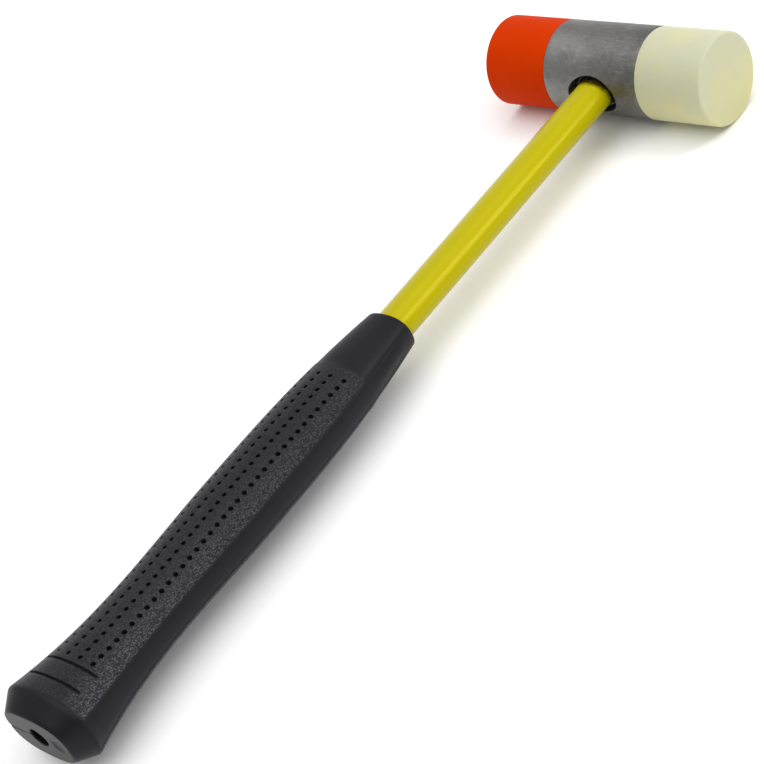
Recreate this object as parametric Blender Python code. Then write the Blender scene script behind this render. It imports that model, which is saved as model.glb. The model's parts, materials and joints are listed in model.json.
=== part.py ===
"""Soft-face mallet: a round steel head with two screw-in tips, one soft and one hard, on a fibreglass handle.

The mallet lies on its side. +X runs along the head towards the hard tip, the handle runs towards -Y and +Z is up.
The origin is under the middle of the mallet's box, level with the lowest line of the head. Units are metres.
Shapes are worked out in the head's own frame, with its origin where the head's axis crosses the handle's.
"""

import math

import bmesh
import bpy

MM = 0.001
INCH = 0.0254
TURN = 2 * math.pi

# Driving dimensions
HEAD_RADIUS = 0.75 * INCH
TIP_LENGTH = 1.25 * INCH
BODY_LENGTH = 47.0 * MM  # the steel between the tips
HANDLE_REACH = 367.0 * MM  # from the head's axis to the end of the grip
GRIP_START = 161.2 * MM  # from the head's axis to the grip's collar
SHAFT_HALF_WIDTH = 8.5 * MM  # along X
SHAFT_HALF_HEIGHT = 6.6 * MM  # along Z
FIT_GAP = 0.3 * MM  # between pieces that rest on each other
SEAM_GAP = 0.15 * MM  # half the gap between a tip and the steel

# Eye: the tunnel that the handle goes through, narrowest in the middle
EYE_MOUTH = (11.75 * MM, 9.5 * MM)  # half width along X, half height along Z
EYE_WAIST = (9.7 * MM, 7.8 * MM)
EYE_OVERSHOOT = 3.0 * MM
BOND_GAP = 0.2 * MM
BOND_NEAR_END = 14.5 * MM  # towards the grip
BOND_FAR_END = 16.0 * MM
SHAFT_FAR_END = 17.0 * MM
SHAFT_GRIP_END = 352.0 * MM

# Screwed joint of each tip: a 1/2-13 thread
THREAD_PITCH = INCH / 13
THREAD_CREST = 0.25 * INCH
THREAD_DEPTH = 0.61 * THREAD_PITCH
THREAD_PROFILE = ((0.0, 0.0), (0.12, 0.0), (0.47, 1.0), (0.65, 1.0))  # shares of the pitch and of the depth
THREAD_CLEARANCE = 0.2 * MM
THREAD_LENGTH = 8.9 * MM
SOCKET_DEPTH = 11.9 * MM  # from the steel's end face
RING_SEAT_RADIUS = 7.7 * MM
RING_SEAT_DEPTH = 2.3 * MM
RING_RADIUS = 6.35 * MM  # of the seal ring's centre circle
RING_THICKNESS = 1.8 * MM
NECK_RADIUS = 5.1 * MM

# Anchor: the part of each stud that is moulded into its tip
ANCHOR_COLLAR_RADIUS = 8.6 * MM
ANCHOR_GROOVE_RADIUS = 6.3 * MM
ANCHOR_STEP = 3.4 * MM  # length of each collar and of each groove
ANCHOR_COLLARS = 3

# Edges
BODY_CHAMFER = 0.4 * MM
TIP_EDGE = 1.0 * MM
TIP_BACK_CHAMFER = 0.3 * MM

# Grip: distance from the head's axis, half height and slope of the outline at each station
GRIP_OUTLINE = (
    (GRIP_START, 8.25 * MM, 0.100),
    (192.0 * MM, 10.4 * MM, 0.060),
    (256.0 * MM, 11.6 * MM, 0.0),
    (303.0 * MM, 10.95 * MM, 0.0),
    (359.1 * MM, 15.0 * MM, 0.168),
)
GRIP_FULL_OVAL = 192.0 * MM  # from here to the butt the section keeps its widest proportions
COLLAR_OVAL = 1.33  # width over height
GRIP_OVAL = 1.45
GRIP_SQUARENESS = 2.4  # exponent of the section: 2 is an ellipse
COLLAR_EDGE = 0.6 * MM
BUTT_HALF_WIDTH = 16.1 * MM
BUTT_HALF_HEIGHT = 10.5 * MM
BUTT_SQUARENESS = 2.7
BUTT_HOLE_RADIUS = 4.1 * MM
GROOVES = (343.2 * MM, 351.3 * MM)
GROOVE_HALF_WIDTH = 0.8 * MM
GROOVE_DEPTH = 0.8 * MM
GROOVE_REACH = 0.62  # the grooves run where a point's height is over this share of its distance from the middle

# Roundness
TURNED_SEGMENTS = 48
STUD_SEGMENTS = 24
OVAL_SEGMENTS = 48
RING_SECTION_SEGMENTS = 8
EYE_STEPS = 8
EDGE_STEPS = 4
GRIP_STEP = 9.0 * MM
SHARP_ANGLE = math.radians(35)
SAME_POINT = 0.01 * MM

SEAM = BODY_LENGTH / 2
HEAD_CENTRE = (0.0, (HANDLE_REACH - HEAD_RADIUS) / 2, HEAD_RADIUS)

# Colour, roughness and metallic value of each material
STEEL = ("satin_steel", (0.22, 0.22, 0.22), 0.38, 1.0)
THREADED_STEEL = ("zinc_plated_steel", (0.48, 0.48, 0.46), 0.35, 1.0)
SOFT_PLASTIC = ("orange_urethane", (0.66, 0.035, 0.001), 0.45, 0.0)
HARD_PLASTIC = ("ivory_nylon", (0.66, 0.65, 0.43), 0.40, 0.0)
SEAL_RUBBER = ("seal_rubber", (0.02, 0.02, 0.02), 0.60, 0.0)
FIBREGLASS = ("yellow_fibreglass", (0.58, 0.50, 0.001), 0.32, 0.0)
EPOXY = ("black_epoxy", (0.012, 0.010, 0.008), 0.35, 0.0)
GRIP_RUBBER = ("black_rubber", (0.015, 0.015, 0.016), 0.50, 0.0)


# Building blocks


def oval(distance, half_width, half_height, squareness=2.0, segments=OVAL_SEGMENTS):
    """Points of a rounded section across the handle, at this distance from the head's axis towards the butt."""
    power = 2 / squareness
    points = []
    for i in range(segments):
        c, s = math.cos(TURN * i / segments), math.sin(TURN * i / segments)
        x = half_width * math.copysign(abs(c) ** power, c)
        z = half_height * math.copysign(abs(s) ** power, s)
        points.append((x, -distance, z))
    return points


def turned(outline, segments=TURNED_SEGMENTS):
    """Rings of points about the X axis, one for each (x, radius) of the outline."""
    angles = [TURN * i / segments for i in range(segments)]
    return [[(x, r * math.cos(a), r * math.sin(a)) for a in angles] for x, r in outline]


def arc(centre_x, centre_r, radius, start, end, steps):
    """Points (x, radius) of a round stretch of an outline, with its angles in degrees from +X towards outwards."""
    points = []
    for i in range(steps + 1):
        a = math.radians(start + (end - start) * i / steps)
        points.append((centre_x + radius * math.cos(a), centre_r + radius * math.sin(a)))
    return points


def skin(rings, looped=False):
    """A closed mesh through the rings in order: the ends are capped, or joined to each other where it is looped."""
    bm = bmesh.new()
    loops = [[bm.verts.new(p) for p in ring] for ring in rings]
    following = loops[1:] + ([loops[0]] if looped else [])
    for near, far in zip(loops, following):
        for i in range(len(near)):
            j = (i + 1) % len(near)
            bm.faces.new((near[i], near[j], far[j], far[i]))
    if not looped:
        bm.faces.new(loops[0])
        bm.faces.new(loops[-1])
    return bm


def threaded_rod(start, end, crest, core, segments=STUD_SEGMENTS):
    """A right-handed threaded rod about the X axis, whose thread fades to the core at both ends.

    The helix passes through the origin at the same angle for every rod, so a stud and its tap are in mesh. Every
    column has the same number of points, at places that follow the helix. Points past an end are drawn back to it,
    and the last column joins the first one thread further on.
    """
    shares = [(place, core + (crest - core) * rise) for place, rise in THREAD_PROFILE]
    first_turn = math.floor(start / THREAD_PITCH) - 1
    last_turn = math.ceil(end / THREAD_PITCH) + 1
    rows = [(turn + share, radius) for turn in range(first_turn, last_turn) for share, radius in shares]
    rows.append((last_turn, core))
    bm = bmesh.new()
    columns = []
    for i in range(segments):
        a = TURN * i / segments
        column = []
        for place, radius in rows:
            x = min(end, max(start, THREAD_PITCH * (place + i / segments)))
            shown = min(1.0, (x - start) / THREAD_PITCH, (end - x) / THREAD_PITCH)
            r = core + (radius - core) * shown
            column.append(bm.verts.new((x, r * math.cos(a), r * math.sin(a))))
        columns.append(column)
    last = len(rows) - 1
    for i in range(segments):
        shift = len(shares) if i == segments - 1 else 0
        near, far = columns[i], columns[(i + 1) % segments]
        for k in range(last):
            low, high = min(k + shift, last), min(k + 1 + shift, last)
            corners = dict.fromkeys((near[k], near[k + 1], far[high], far[low]))
            bm.faces.new(tuple(corners))
    bmesh.ops.remove_doubles(bm, verts=bm.verts, dist=SAME_POINT)
    bmesh.ops.dissolve_degenerate(bm, edges=bm.edges, dist=SAME_POINT / 10)
    open_edges = [edge for edge in bm.edges if edge.is_boundary]
    bmesh.ops.holes_fill(bm, edges=open_edges, sides=segments)
    return bm


def finished_mesh(name, bm):
    bmesh.ops.recalc_face_normals(bm, faces=bm.faces)
    mesh = bpy.data.meshes.new(name)
    bm.to_mesh(mesh)
    bm.free()
    mesh.shade_smooth()
    mesh.set_sharp_from_angle(angle=SHARP_ANGLE)
    return mesh


def add_object(name, bm, parent, look):
    """A visible piece under its parent, with its own material."""
    obj = bpy.data.objects.new(name, finished_mesh(name, bm))
    bpy.context.scene.collection.objects.link(obj)
    obj.parent = parent
    material_name, colour, roughness, metallic = look
    material = bpy.data.materials.new(material_name)
    material.use_nodes = True
    shader = material.node_tree.nodes["Principled BSDF"]
    shader.inputs["Base Color"].default_value = (*colour, 1.0)
    shader.inputs["Roughness"].default_value = roughness
    shader.inputs["Metallic"].default_value = metallic
    obj.data.materials.append(material)
    return obj


def add_frame(name, location, turn=0.0, parent=None):
    """An empty that carries pieces, turned about Z."""
    frame = bpy.data.objects.new(name, None)
    bpy.context.scene.collection.objects.link(frame)
    frame.location = location
    frame.rotation_euler = (0.0, 0.0, turn)
    frame.parent = parent
    return frame


def combine(obj, operation, name, bm, parent):
    """Cuts a second closed shape out of the piece, or joins it on, by a Boolean operation."""
    shape = bpy.data.objects.new(name, finished_mesh(name, bm))
    bpy.context.scene.collection.objects.link(shape)
    shape.parent = parent
    shape.hide_render = True
    shape.display_type = "WIRE"
    boolean = obj.modifiers.new(name, "BOOLEAN")
    boolean.operation = operation
    boolean.solver = "EXACT"
    boolean.object = shape


# Head


def eye_half_sizes(distance):
    """Half width and half height of the eye, which flares from its waist to both mouths."""
    flare = (abs(distance) / HEAD_RADIUS) ** 2
    return tuple(waist + (mouth - waist) * flare for waist, mouth in zip(EYE_WAIST, EYE_MOUTH))


def eye_rings(near, far, gap=0.0):
    """Sections of the eye, made smaller by the gap, from the far side of the head to the near one."""
    rings = []
    for i in range(EYE_STEPS + 1):
        distance = far + (near - far) * i / EYE_STEPS
        half_width, half_height = eye_half_sizes(distance)
        rings.append(oval(distance, half_width - gap, half_height - gap))
    return rings


def head_body(mallet, tip_frames):
    """The steel body: a chamfered bar with the eye across it and a tapped, counterbored socket in each end."""
    shoulder = SEAM - BODY_CHAMFER
    rim = HEAD_RADIUS - BODY_CHAMFER
    outline = [(-SEAM, rim), (-shoulder, HEAD_RADIUS), (shoulder, HEAD_RADIUS), (SEAM, rim)]
    body = add_object("head_body", skin(turned(outline)), mallet, STEEL)
    reach = HEAD_RADIUS + EYE_OVERSHOOT
    combine(body, "DIFFERENCE", "eye_cutter", skin(eye_rings(reach, -reach)), mallet)
    crest = THREAD_CREST + THREAD_CLEARANCE
    core = crest - THREAD_DEPTH
    for side, frame in tip_frames.items():
        tap = threaded_rod(-SOCKET_DEPTH, THREAD_PITCH, crest, core)
        combine(body, "DIFFERENCE", side + "_tap_cutter", tap, frame)
        seat_outline = [(-RING_SEAT_DEPTH, RING_SEAT_RADIUS), (RING_SEAT_DEPTH, RING_SEAT_RADIUS)]
        combine(body, "DIFFERENCE", side + "_seat_cutter", skin(turned(seat_outline)), frame)


def anchor_outline(allowance):
    """Outline of a stud's anchor, from the back of the tip inwards, grown by the allowance."""
    outline = [(SEAM_GAP, ANCHOR_COLLAR_RADIUS + allowance)]
    x = SEAM_GAP
    for i in range(ANCHOR_COLLARS):
        x += ANCHOR_STEP
        outline.append((x + allowance, ANCHOR_COLLAR_RADIUS + allowance))
        if i < ANCHOR_COLLARS - 1:
            outline.append((x + allowance, ANCHOR_GROOVE_RADIUS + allowance))
            x += ANCHOR_STEP
            outline.append((x - allowance, ANCHOR_GROOVE_RADIUS + allowance))
            outline.append((x - allowance, ANCHOR_COLLAR_RADIUS + allowance))
    return outline


def tip(name, frame, look):
    """A striking tip, hollow at the back where the stud's anchor is moulded in."""
    back_rim = HEAD_RADIUS - TIP_BACK_CHAMFER
    outside = [(SEAM_GAP, back_rim), (SEAM_GAP + TIP_BACK_CHAMFER, HEAD_RADIUS)]
    outside += arc(TIP_LENGTH - TIP_EDGE, HEAD_RADIUS - TIP_EDGE, TIP_EDGE, 90, 0, EDGE_STEPS)
    pocket = anchor_outline(FIT_GAP)
    add_object(name, skin(turned(pocket[::-1] + outside)), frame, look)


def stud(name, frame):
    """A steel stud: threaded end for the head, neck for the seal ring and collared anchor for the tip."""
    thread_start = -RING_SEAT_DEPTH - THREAD_LENGTH
    thread_end = -RING_SEAT_DEPTH
    core = THREAD_CREST - THREAD_DEPTH
    rod = threaded_rod(thread_start, thread_end, THREAD_CREST, core)
    piece = add_object(name, rod, frame, THREADED_STEEL)
    outline = [(thread_end - THREAD_PITCH, NECK_RADIUS), (SEAM_GAP, NECK_RADIUS)] + anchor_outline(0.0)
    combine(piece, "UNION", name + "_anchor", skin(turned(outline, STUD_SEGMENTS)), frame)


def seal_ring(name, frame):
    """A rubber ring round the stud's neck, in the seat behind the tip."""
    radius = RING_THICKNESS / 2
    centre = -(RING_SEAT_DEPTH - SEAM_GAP) / 2
    section = arc(centre, RING_RADIUS, radius, 0, 360, RING_SECTION_SEGMENTS)[:-1]
    add_object(name, skin(turned(section, STUD_SEGMENTS), looped=True), frame, SEAL_RUBBER)


# Handle


def shaft(mallet):
    """A solid oval fibreglass rod from the far side of the head down into the grip."""
    rings = [oval(d, SHAFT_HALF_WIDTH, SHAFT_HALF_HEIGHT) for d in (-SHAFT_FAR_END, SHAFT_GRIP_END)]
    add_object("handle_shaft", skin(rings), mallet, FIBREGLASS)


def eye_bond(mallet):
    """The epoxy that fills the eye round the shaft, recessed below the steel at both mouths."""
    outside = eye_rings(BOND_NEAR_END, -BOND_FAR_END, BOND_GAP)
    width = SHAFT_HALF_WIDTH + BOND_GAP
    height = SHAFT_HALF_HEIGHT + BOND_GAP
    inside = [oval(BOND_NEAR_END, width, height), oval(-BOND_FAR_END, width, height)]
    add_object("eye_bond", skin(outside + inside, looped=True), mallet, EPOXY)


def grip_half_height(distance):
    """Half height of the grip, by smooth curves between the stations of its outline."""
    for near, far in zip(GRIP_OUTLINE, GRIP_OUTLINE[1:]):
        if distance <= far[0]:
            break
    length = far[0] - near[0]
    t = (distance - near[0]) / length
    rise = 3 * t**2 - 2 * t**3
    start_slope = (t**3 - 2 * t**2 + t) * length * near[2]
    end_slope = (t**3 - t**2) * length * far[2]
    return near[1] + (far[1] - near[1]) * rise + start_slope + end_slope


def grip_section(distance, inset=0.0):
    """Section of the grip's outside, which widens from a slim collar into the palm."""
    share = min(1.0, (distance - GRIP_START) / (GRIP_FULL_OVAL - GRIP_START))
    half_height = grip_half_height(distance) - inset
    half_width = (half_height + inset) * (COLLAR_OVAL + (GRIP_OVAL - COLLAR_OVAL) * share) - inset
    return oval(distance, half_width, half_height, GRIP_SQUARENESS)


def grooved_section(distance):
    """Section at the bottom of a groove, which is cut across the top and the underside but not round the sides."""
    points = []
    for x, y, z in grip_section(distance):
        facing = abs(z) / math.hypot(x, z)
        depth = GROOVE_DEPTH if facing > GROOVE_REACH else 0.0
        points.append((x, y, z - math.copysign(depth, z)))
    return points


def grip(mallet):
    """A rubber sleeve: collar, palm swell, flared butt with a bevel, blind bore for the shaft and a hole in the end."""
    flare_station = GRIP_OUTLINE[-1][0]
    steps = round((flare_station - GRIP_START) / GRIP_STEP)
    stations = [GRIP_START + (flare_station - GRIP_START) * i / steps for i in range(1, steps + 1)]
    clear = 2.5 * GROOVE_HALF_WIDTH
    plain = [d for d in stations if all(abs(d - groove) > clear for groove in GROOVES)]
    sections = {d: grip_section(d) for d in plain}
    sections[GRIP_START] = grip_section(GRIP_START, COLLAR_EDGE)
    sections[GRIP_START + COLLAR_EDGE] = grip_section(GRIP_START + COLLAR_EDGE)
    for groove in GROOVES:
        sections[groove - GROOVE_HALF_WIDTH] = grip_section(groove - GROOVE_HALF_WIDTH)
        sections[groove] = grooved_section(groove)
        sections[groove + GROOVE_HALF_WIDTH] = grip_section(groove + GROOVE_HALF_WIDTH)
    outside = [sections[d] for d in sorted(sections)]
    butt = oval(HANDLE_REACH, BUTT_HALF_WIDTH, BUTT_HALF_HEIGHT, BUTT_SQUARENESS)
    bore_end = SHAFT_GRIP_END + FIT_GAP
    hole = [oval(d, BUTT_HOLE_RADIUS, BUTT_HOLE_RADIUS) for d in (HANDLE_REACH, bore_end)]
    width = SHAFT_HALF_WIDTH + FIT_GAP
    height = SHAFT_HALF_HEIGHT + FIT_GAP
    bore = [oval(d, width, height) for d in (bore_end, GRIP_START)]
    rings = outside + [butt] + hole + bore
    add_object("grip", skin(rings, looped=True), mallet, GRIP_RUBBER)


# Mallet


def main():
    for obj in list(bpy.data.objects):
        bpy.data.objects.remove(obj)
    mallet = add_frame("mallet", HEAD_CENTRE)
    tip_frames = {
        "hard": add_frame("hard_tip_frame", (SEAM, 0.0, 0.0), 0.0, mallet),
        "soft": add_frame("soft_tip_frame", (-SEAM, 0.0, 0.0), math.pi, mallet),
    }
    head_body(mallet, tip_frames)
    for side, frame in tip_frames.items():
        stud(side + "_tip_stud", frame)
        seal_ring(side + "_tip_ring", frame)
    tip("hard_tip", tip_frames["hard"], HARD_PLASTIC)
    tip("soft_tip", tip_frames["soft"], SOFT_PLASTIC)
    shaft(mallet)
    eye_bond(mallet)
    grip(mallet)


main()
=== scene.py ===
"""The looks of a soft-face mallet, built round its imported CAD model.

Shapes are worked out in the head's frame: x along the head towards the hard tip, distance along the
handle from the head's axis to the butt, and z up. Every visible piece stands for a CAD node and rides on
that node's body.
"""

import json
import math
import bmesh
import bpy
from mathutils import Euler, Matrix, Vector

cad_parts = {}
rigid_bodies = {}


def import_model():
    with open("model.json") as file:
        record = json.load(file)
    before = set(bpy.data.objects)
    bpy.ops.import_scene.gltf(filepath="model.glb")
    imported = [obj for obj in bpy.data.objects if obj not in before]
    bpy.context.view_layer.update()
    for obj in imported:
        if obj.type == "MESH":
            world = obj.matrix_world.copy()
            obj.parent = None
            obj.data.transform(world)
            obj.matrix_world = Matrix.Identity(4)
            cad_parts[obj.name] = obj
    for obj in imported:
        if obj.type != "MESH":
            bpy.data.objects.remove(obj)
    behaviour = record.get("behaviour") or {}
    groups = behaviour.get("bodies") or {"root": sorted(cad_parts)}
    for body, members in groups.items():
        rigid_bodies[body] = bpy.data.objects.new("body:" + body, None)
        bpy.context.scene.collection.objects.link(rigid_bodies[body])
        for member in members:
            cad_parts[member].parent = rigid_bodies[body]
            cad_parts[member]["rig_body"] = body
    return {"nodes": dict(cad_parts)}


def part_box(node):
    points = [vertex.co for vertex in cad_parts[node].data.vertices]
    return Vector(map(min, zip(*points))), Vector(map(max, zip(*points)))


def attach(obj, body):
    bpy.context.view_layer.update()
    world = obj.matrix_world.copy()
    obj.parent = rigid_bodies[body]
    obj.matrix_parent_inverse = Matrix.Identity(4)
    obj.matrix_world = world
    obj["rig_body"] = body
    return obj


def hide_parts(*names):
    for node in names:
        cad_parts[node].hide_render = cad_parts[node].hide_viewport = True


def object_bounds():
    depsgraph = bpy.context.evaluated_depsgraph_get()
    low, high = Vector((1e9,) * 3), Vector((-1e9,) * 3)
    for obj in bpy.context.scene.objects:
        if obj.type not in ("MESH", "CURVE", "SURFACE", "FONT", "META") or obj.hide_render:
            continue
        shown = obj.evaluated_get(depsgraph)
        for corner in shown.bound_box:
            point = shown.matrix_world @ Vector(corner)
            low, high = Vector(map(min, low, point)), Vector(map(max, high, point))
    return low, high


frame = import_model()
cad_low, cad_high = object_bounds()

MM = 0.001
TURN = 2 * math.pi

# Places and sizes that the CAD model gives
body_low, body_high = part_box("head_body")
tip_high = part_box("hard_tip")[1]
shaft_low, shaft_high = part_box("handle_shaft")
grip_low, grip_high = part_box("grip")
HEAD = (body_low + body_high) / 2
HEAD_RADIUS = body_high.z - HEAD.z
SEAM = body_high.x
TIP_END = tip_high.x
SHAFT_HALF_WIDTH = shaft_high.x
SHAFT_HALF_HEIGHT = shaft_high.z - HEAD.z
SHAFT_FAR_END = shaft_high.y - HEAD.y
SHAFT_GRIP_END = HEAD.y - shaft_low.y
GRIP_START = HEAD.y - grip_high.y
HANDLE_REACH = HEAD.y - grip_low.y
SHAFT_EDGE = 0.3 * MM  # round the shaft's far end

# Eye, as in the CAD model: the tunnel for the handle, narrowest in the middle
EYE_MOUTH = (11.75 * MM, 9.5 * MM)
EYE_WAIST = (9.7 * MM, 7.8 * MM)
EYE_EDGE = 0.35 * MM
TUNNEL_REACH = 14 * MM  # of the rings inside the eye, each way from the head's axis
BOND_NEAR_END = 14.2 * MM
BOND_FAR_END = 16.0 * MM
BOND_SAG = 0.7 * MM
BOND_EDGE_CLIMB = 0.5 * MM
BOND_CLIMB = 1.7 * MM  # of the thin film up the shaft, in the near mouth
BOND_LEAN = 0.45  # share by which the film climbs further on the hard tip's side
BOND_RIPPLES = ((0.25, 3, 1.0), (0.2, 7, 2.0), (0.15, 12, 0.0))  # share, waves round the shaft, phase
ROOT_SHADOW_FADE = (17.0 * MM, 19.2 * MM)  # where the painted shadow on the shaft by the near mouth fades out, darkest and palest

# Ends of the steel body and backs of the tips
BODY_CHAMFER = 0.3 * MM
RING_SEAT_RADIUS = 7.7 * MM
RING_SEAT_DEPTH = 2.3 * MM
RING_SEAT_EDGE = 0.2 * MM
SOCKET_RADIUS = 6.6 * MM
SOCKET_EDGE = 0.3 * MM
SOCKET_DEPTH = 11.5 * MM
SEAM_GAP = 0.05 * MM
ANCHOR_POCKET_RADIUS = 8.75 * MM
ANCHOR_POCKET_DEPTH = 17.6 * MM
TIP_EDGE = 1.0 * MM
TIP_BACK_EDGE = 0.25 * MM

# Grip: distance from the head's axis, half height and slope of the outline at each station
FLARE = 359.1 * MM
GRIP_OUTLINE = (
    (GRIP_START, 8.25 * MM, 0.100),
    (192.0 * MM, 10.4 * MM, 0.060),
    (256.0 * MM, 11.6 * MM, 0.0),
    (303.0 * MM, 10.95 * MM, 0.0),
    (FLARE, 15.0 * MM, 0.168),
)
GRIP_FULL_OVAL = 192.0 * MM
COLLAR_OVAL = 1.33
GRIP_OVAL = 1.45
GRIP_SQUARENESS = 2.4
COLLAR_EDGE = 0.6 * MM
FLARE_EDGE = 0.8 * MM
BUTT_HALF_WIDTH = 16.1 * MM
BUTT_HALF_HEIGHT = 10.5 * MM
BUTT_SQUARENESS = 2.7
BUTT_EDGE = 0.3 * MM
BUTT_HOLE_RADIUS = 4.1 * MM
BUTT_HOLE_EDGE = 0.3 * MM
SHAFT_END_GAP = 0.3 * MM  # between the shaft and its bore in the grip
SHAFT_SIDE_GAP = 0.05 * MM

# Dimples: four straight rows on the top and four underneath
DIMPLE_ROWS = 4
DIMPLES_PER_ROW = 37
DIMPLE_PITCH = 3.953 * MM
DIMPLE_ROW_GAP = 6.2 * MM
DIMPLE_RADII = (0.92 * MM, 0.90 * MM, 0.84 * MM, 0.68 * MM)  # of each row, from the hard tip's side
DIMPLE_DEPTHS = (1.7 * MM, 1.5 * MM, 0.9 * MM, 0.40 * MM)
FIRST_DIMPLE = 197.45 * MM
# A dimple's outline from its lip to its floor, as shares of its radius and depth
DIMPLE_PROFILE = ((1.12, 0.0), (1.04, 0.02), (1.0, 0.12), (0.95, 0.5), (0.9, 0.9), (0.7, 1.0))

# Relief of the grip: a pebbled panel on the top and underside, and smooth sides sunk below its edge
PANEL_START = 192.0 * MM
PANEL_STEP = 0.12 * MM
PANEL_STEP_RUN = (PANEL_START - 9 * MM, PANEL_START - 2 * MM)
PANEL_FADE = 1.6 * MM  # half length of the fade from smooth to pebbled
PANEL_EDGE_FADE = (-0.4 * MM, 0.2 * MM)  # above the crease
COARSE_PEBBLES_AND_GLINTS = (1.4 * MM, 7.0 * MM)  # above the crease, where the full pebbles and their painted glints start and stop fading
FINE_PEBBLE_AND_GLINT = 0.20  # strength of the pebbles and their painted glints above them
SIDE_STEP = 0.38 * MM
CREASE_NEAR_ENDS = 0.50  # height of the panel's edge, as a share of the half height
CREASE_MIDWAY = 0.455
CREASE_TOP = 0.2 * MM  # the fall to the sunk side, above and below the crease
CREASE_FOOT = -1.3 * MM
CREASE_COLUMNS = (-1.4 * MM, -1.05 * MM, -0.7 * MM, -0.35 * MM, -0.05 * MM, 0.25 * MM, 0.6 * MM, 1.1 * MM)
SIDE_STEP_START = (PANEL_START - 10 * MM, PANEL_START + 3 * MM)
SIDE_STEP_END = (FLARE - 4 * MM, FLARE)
COLLAR_CREASE_START = 164.0 * MM
COLLAR_CREASE_FULL = COLLAR_CREASE_START + 9 * MM
COLLAR_STEP = 0.34 * MM
GROOVES = (343.25 * MM, 351.35 * MM)
GROOVE_HALF_WIDTH = 0.8 * MM
GROOVE_DEPTH = 0.75 * MM
GROOVE_REACH = 13.9 * MM  # half length across the grip
GROOVE_END_FADE = (GROOVE_REACH - 0.8 * MM, GROOVE_REACH + 0.4 * MM)
GROOVE_SMOOTHING = 0.8  # share of the pebbles that a groove takes away
GROOVE_ROWS = (-1.0, -0.9, -0.8, -0.7, -0.6, -0.4, 0.0, 0.4, 0.7)  # rows of the grid, in half widths

# Moulding marks on the grip's flat end
MARK_CENTRE = 10.5 * MM
MARK_RADIUS = 3.9 * MM
MARK_DEPTH = 0.45 * MM
MARK_EDGE = 2.2 * MM
LINE_HALF_WIDTH = 0.25 * MM
LINE_DEPTH = 0.35 * MM

# Fineness
TURNED_SEGMENTS = 160
OVAL_SEGMENTS = 128
SIDE_COLUMNS = 8
SHOULDER_COLUMNS = 8
DIMPLE_CELL_ACROSS = 8
DIMPLE_CELL_ALONG = 6
FACE_RINGS = 48
MOUTH_RINGS = 14
TUNNEL_RINGS = 12
SEGMENTS_ALONG_HEAD = 48
BOND_STEPS = 12
COLLAR_ROW_STEP = 1.0 * MM
FADE_ROW_STEP = 0.3 * MM
PANEL_ROW_STEP = 0.8 * MM
FLARE_ROW_STEP = 0.6 * MM
WELD_DISTANCE = 0.005 * MM
BAND_COLUMNS = DIMPLE_ROWS * DIMPLE_CELL_ACROSS
BAND_HALF_WIDTH = DIMPLE_ROWS * DIMPLE_ROW_GAP / 2
DIMPLES_START = FIRST_DIMPLE - DIMPLE_PITCH / 2
DIMPLES_END = DIMPLES_START + DIMPLES_PER_ROW * DIMPLE_PITCH

# Colours, in linear light: a pair is a range that a texture varies between
STEEL = ((0.098, 0.097, 0.094), (0.276, 0.274, 0.266))
STEEL_SPECKLE = (0.290, 0.285, 0.275)
STEEL_STAIN = (0.130, 0.118, 0.098)
STEEL_SCUFF = (0.420, 0.420, 0.410)
ZINC = ((0.42, 0.42, 0.40), (0.58, 0.57, 0.52))
ORANGE = ((0.520, 0.0305, 0.0), (0.576, 0.035, 0.0))
IVORY = ((0.525, 0.527, 0.378), (0.592, 0.566, 0.288))
YELLOW = ((0.412, 0.357, 0.0001), (0.450, 0.392, 0.0001))
YELLOW_SPECK = (0.16, 0.12, 0.01)
# Painted shadow on the shaft where it goes into the eye
PAINTED_ROOT_SHADOW = (0.045, 0.030, 0.003)
EPOXY = ((0.006, 0.005, 0.004), (0.018, 0.015, 0.010))
SEAL = ((0.012, 0.012, 0.012), (0.022, 0.022, 0.022))
RUBBER = ((0.0045, 0.0044, 0.0056), (0.0065, 0.0063, 0.0076))
# Painted glints on the pebbles' crowns
PEBBLE_GLINT = (0.140, 0.136, 0.158)
# Painted shade in the dimples and the butt's hole
PAINTED_HOLLOW_SHADE = (0.0015, 0.0015, 0.0015)
FLOOR = (0.94, 0.94, 0.94, 1.0)


# Shapes


def smoothstep(value, start, end):
    t = min(1.0, max(0.0, (value - start) / (end - start)))
    return t * t * (3 - 2 * t)


def blend(near, far, share):
    return tuple(a + (b - a) * share for a, b in zip(near, far))


def oval(half_width, half_height, squareness=2.0, segments=OVAL_SEGMENTS):
    """(x, z) points of a rounded section."""
    return [oval_point(half_width, half_height, TURN * i / segments, squareness) for i in range(segments)]


def oval_point(half_width, half_height, angle, squareness=2.0):
    power = 2 / squareness
    c, s = math.cos(angle), math.sin(angle)
    return half_width * math.copysign(abs(c) ** power, c), half_height * math.copysign(abs(s) ** power, s)


def across(points, distance):
    """A section placed across the handle at this distance from the head's axis, in the row frame."""
    return [HEAD + Vector((x, -distance, z)) for x, z in points]


def turned(outline, side=1, segments=TURNED_SEGMENTS):
    """Rings about the head's axis for an outline of (distance from the head's middle, radius)."""
    rings = []
    for x, radius in outline:
        angles = [TURN * i / segments for i in range(segments)]
        circle = [(radius * math.cos(a), radius * math.sin(a)) for a in angles]
        rings.append([HEAD + Vector((side * x, y, z)) for y, z in circle])
    return rings


def rounded(centre, radius, start, end, steps):
    """Points of a round stretch of an outline, with its angles in degrees."""
    angles = [math.radians(start + (end - start) * i / steps) for i in range(steps + 1)]
    return [(centre[0] + radius * math.cos(a), centre[1] + radius * math.sin(a)) for a in angles]


def skin(bm, rings, looped=False):
    """Joins rings of points in order, and last to first where looped. Returns the rings' vertices."""
    loops = [[p if isinstance(p, bmesh.types.BMVert) else bm.verts.new(p) for p in ring] for ring in rings]
    following = loops[1:] + ([loops[0]] if looped else [])
    for near, far in zip(loops, following):
        for i in range(len(near)):
            j = (i + 1) % len(near)
            bm.faces.new((near[i], near[j], far[j], far[i]))
    return loops


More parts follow.
